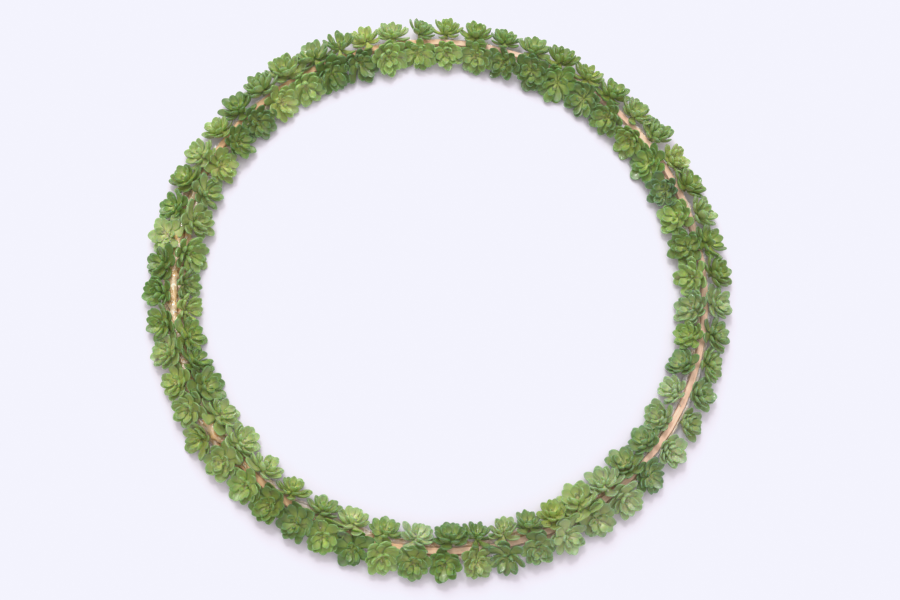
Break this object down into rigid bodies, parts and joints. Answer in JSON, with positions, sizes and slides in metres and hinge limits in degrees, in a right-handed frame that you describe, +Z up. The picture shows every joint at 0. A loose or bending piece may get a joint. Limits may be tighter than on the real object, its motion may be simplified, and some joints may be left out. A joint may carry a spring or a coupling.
{
  "type": "succulent wreath",
  "caption": "Slim round wreath: a thin wooden hoop with a row of small artificial succulent rosettes glued along its outer side and another along its inner side.",
  "frame": {"origin": "on the surface the wreath lies on, under the middle of the hoop", "axes": "+Z up, out of the front of the wreath; +Y towards the top of the wreath as it is pictured"},
  "size_m": [0.3962, 0.396, 0.0217],
  "materials": {
    "wood": "bare pale wood, fine grain",
    "glue": "clear hot glue, glossy, lumpy, amber over the wood",
    "leaf_light": "soft moulded leaves, satin, pale yellow green",
    "leaf_mid": "soft moulded leaves, satin, middle green",
    "leaf_dark": "soft moulded leaves, satin, deep green"
  },
  "bodies": {
    "root": {"hoop": "wood", "glue_outer": "glue", "glue_inner": "glue", "glue_top": "glue", "rosettes_outer_01": "leaf_light", "rosettes_outer_02": "leaf_mid", "rosettes_outer_03": "leaf_mid", "rosettes_outer_04": "leaf_mid", "rosettes_outer_05": "leaf_light", "rosettes_outer_06": "leaf_mid", "rosettes_outer_07": "leaf_dark", "rosettes_outer_08": "leaf_mid", "rosettes_outer_09": "leaf_mid", "rosettes_outer_10": "leaf_light", "rosettes_outer_11": "leaf_mid", "rosettes_outer_12": "leaf_light", "rosettes_outer_13": "leaf_mid", "rosettes_outer_14": "leaf_light", "rosettes_outer_15": "leaf_light", "rosettes_outer_16": "leaf_dark", "rosettes_outer_17": "leaf_dark", "rosettes_outer_18": "leaf_light", "rosettes_outer_19": "leaf_mid", "rosettes_outer_20": "leaf_light", "rosettes_outer_21": "leaf_dark", "rosettes_outer_22": "leaf_mid", "rosettes_outer_23": "leaf_dark", "rosettes_outer_24": "leaf_light", "rosettes_outer_25": "leaf_dark", "rosettes_outer_26": "leaf_light", "rosettes_outer_27": "leaf_light", "rosettes_outer_28": "leaf_light", "rosettes_inner_01": "leaf_mid", "rosettes_inner_02": "leaf_dark", "rosettes_inner_03": "leaf_dark", "rosettes_inner_04": "leaf_dark", "rosettes_inner_05": "leaf_dark", "rosettes_inner_06": "leaf_dark", "rosettes_inner_07": "leaf_mid", "rosettes_inner_08": "leaf_dark", "rosettes_inner_09": "leaf_light", "rosettes_inner_10": "leaf_dark", "rosettes_inner_11": "leaf_light", "rosettes_inner_12": "leaf_dark", "rosettes_inner_13": "leaf_dark", "rosettes_inner_14": "leaf_mid", "rosettes_inner_15": "leaf_mid", "rosettes_inner_16": "leaf_mid", "rosettes_inner_17": "leaf_light", "rosettes_inner_18": "leaf_mid", "rosettes_inner_19": "leaf_dark", "rosettes_inner_20": "leaf_dark", "rosettes_inner_21": "leaf_dark", "rosettes_inner_22": "leaf_mid", "rosettes_inner_23": "leaf_dark", "rosettes_inner_24": "leaf_light", "rosettes_inner_25": "leaf_dark", "rosettes_inner_26": "leaf_light"}
  },
  "joints": []
}
